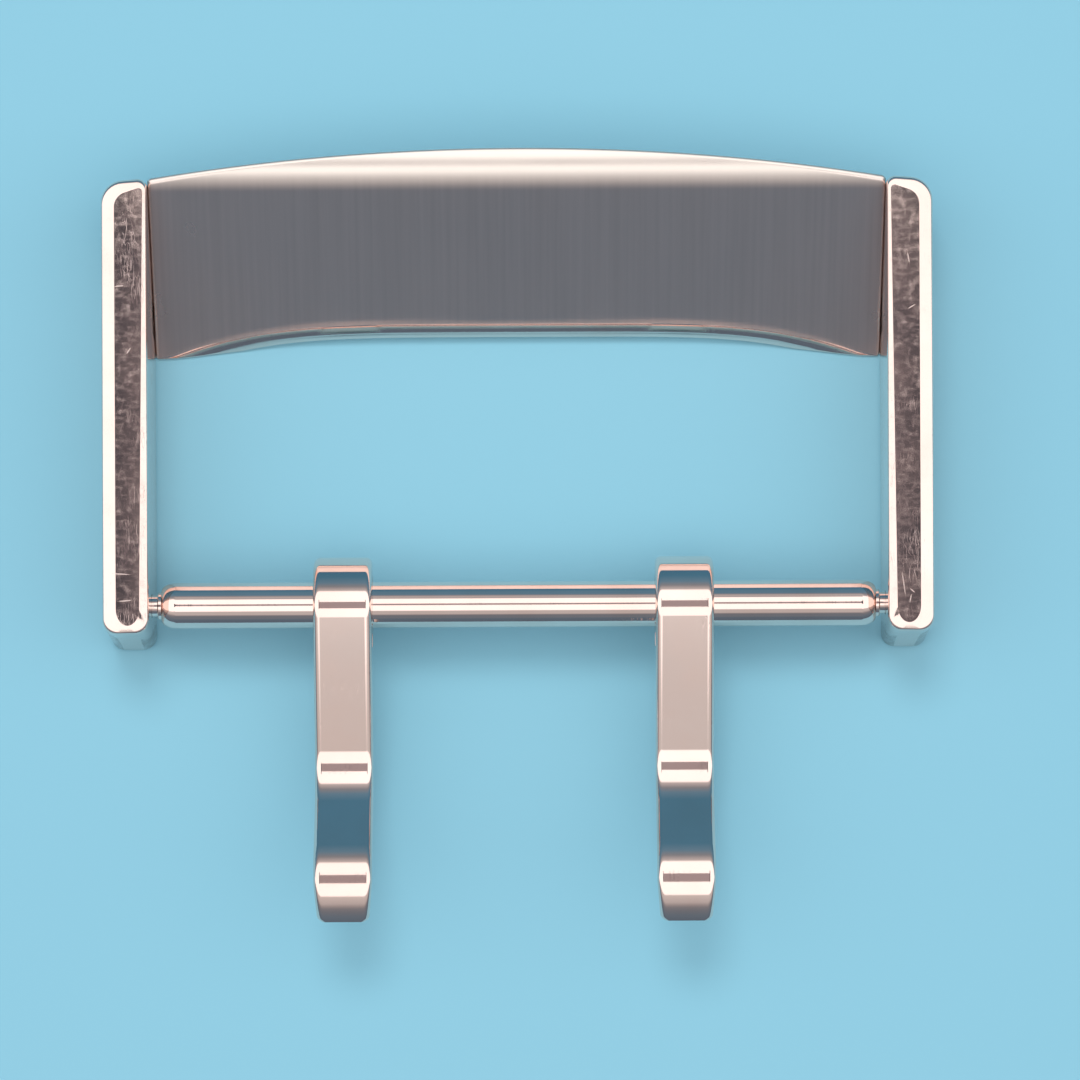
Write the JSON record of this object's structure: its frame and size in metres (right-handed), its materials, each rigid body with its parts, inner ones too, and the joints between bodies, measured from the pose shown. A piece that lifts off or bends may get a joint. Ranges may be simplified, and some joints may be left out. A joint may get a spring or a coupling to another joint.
{
  "type": "watch strap buckle",
  "caption": "Pin buckle for a watch strap: curved bridge between two bevelled arms, sprung bar across their free ends, bent tongues that swing on it.",
  "frame": {"origin": "bottom centre of the bounding box, on the plane of the frame's front face, with the tongues swung out", "axes": "+X along the spring bar, +Y from the bar to the bridge, +Z from the front face to the back face, which lies against the wrist"},
  "size_m": [0.027, 0.0252, 0.0045],
  "materials": {
    "polished_frame": "rose gold coloured, polished",
    "satin_bridge": "rose gold coloured, fine satin brushing across the bridge",
    "bar": "rose gold coloured, polished tube",
    "pins": "turned steel",
    "spring": "bright drawn wire",
    "tongues": "rose gold coloured, polished strip"
  },
  "bodies": {
    "frame": {"left_arm": "polished_frame", "right_arm": "polished_frame", "bridge": "satin_bridge"},
    "bar": {"bar_barrel": "bar", "bar_spring": "spring"},
    "pin_left": {"left_pivot_pin": "pins"},
    "pin_right": {"right_pivot_pin": "pins"},
    "tongue_left": {"left_tongue": "tongues"},
    "tongue_right": {"right_tongue": "tongues"}
  },
  "joints": [
    {"name": "left_tongue_swing", "type": "hinge", "parent": "frame", "child": "tongue_left", "pos_m": [-0.00573, -0.00228, 0.00235], "axis": [1, 0, 0], "range_deg": [-173, 172]},
    {"name": "right_tongue_swing", "type": "hinge", "parent": "frame", "child": "tongue_right", "pos_m": [0.00541, -0.00228, 0.00235], "axis": [1, 0, 0], "range_deg": [-173, 172]},
    {"name": "bar_spin", "type": "hinge", "parent": "frame", "child": "bar", "pos_m": [0, -0.00228, 0.00235], "axis": [1, 0, 0], "continuous": true},
    {"name": "left_pin_push", "type": "slide", "parent": "bar", "child": "pin_left", "axis": [1, 0, 0], "range_m": [0, 0.00085], "stiffness_N_per_m": 400, "springref_m": -0.0012, "deforming": ["bar_spring"]},
    {"name": "right_pin_push", "type": "slide", "parent": "bar", "child": "pin_right", "axis": [-1, 0, 0], "range_m": [0, 0.00085], "stiffness_N_per_m": 400, "springref_m": -0.0012, "deforming": ["bar_spring"]}
  ]
}
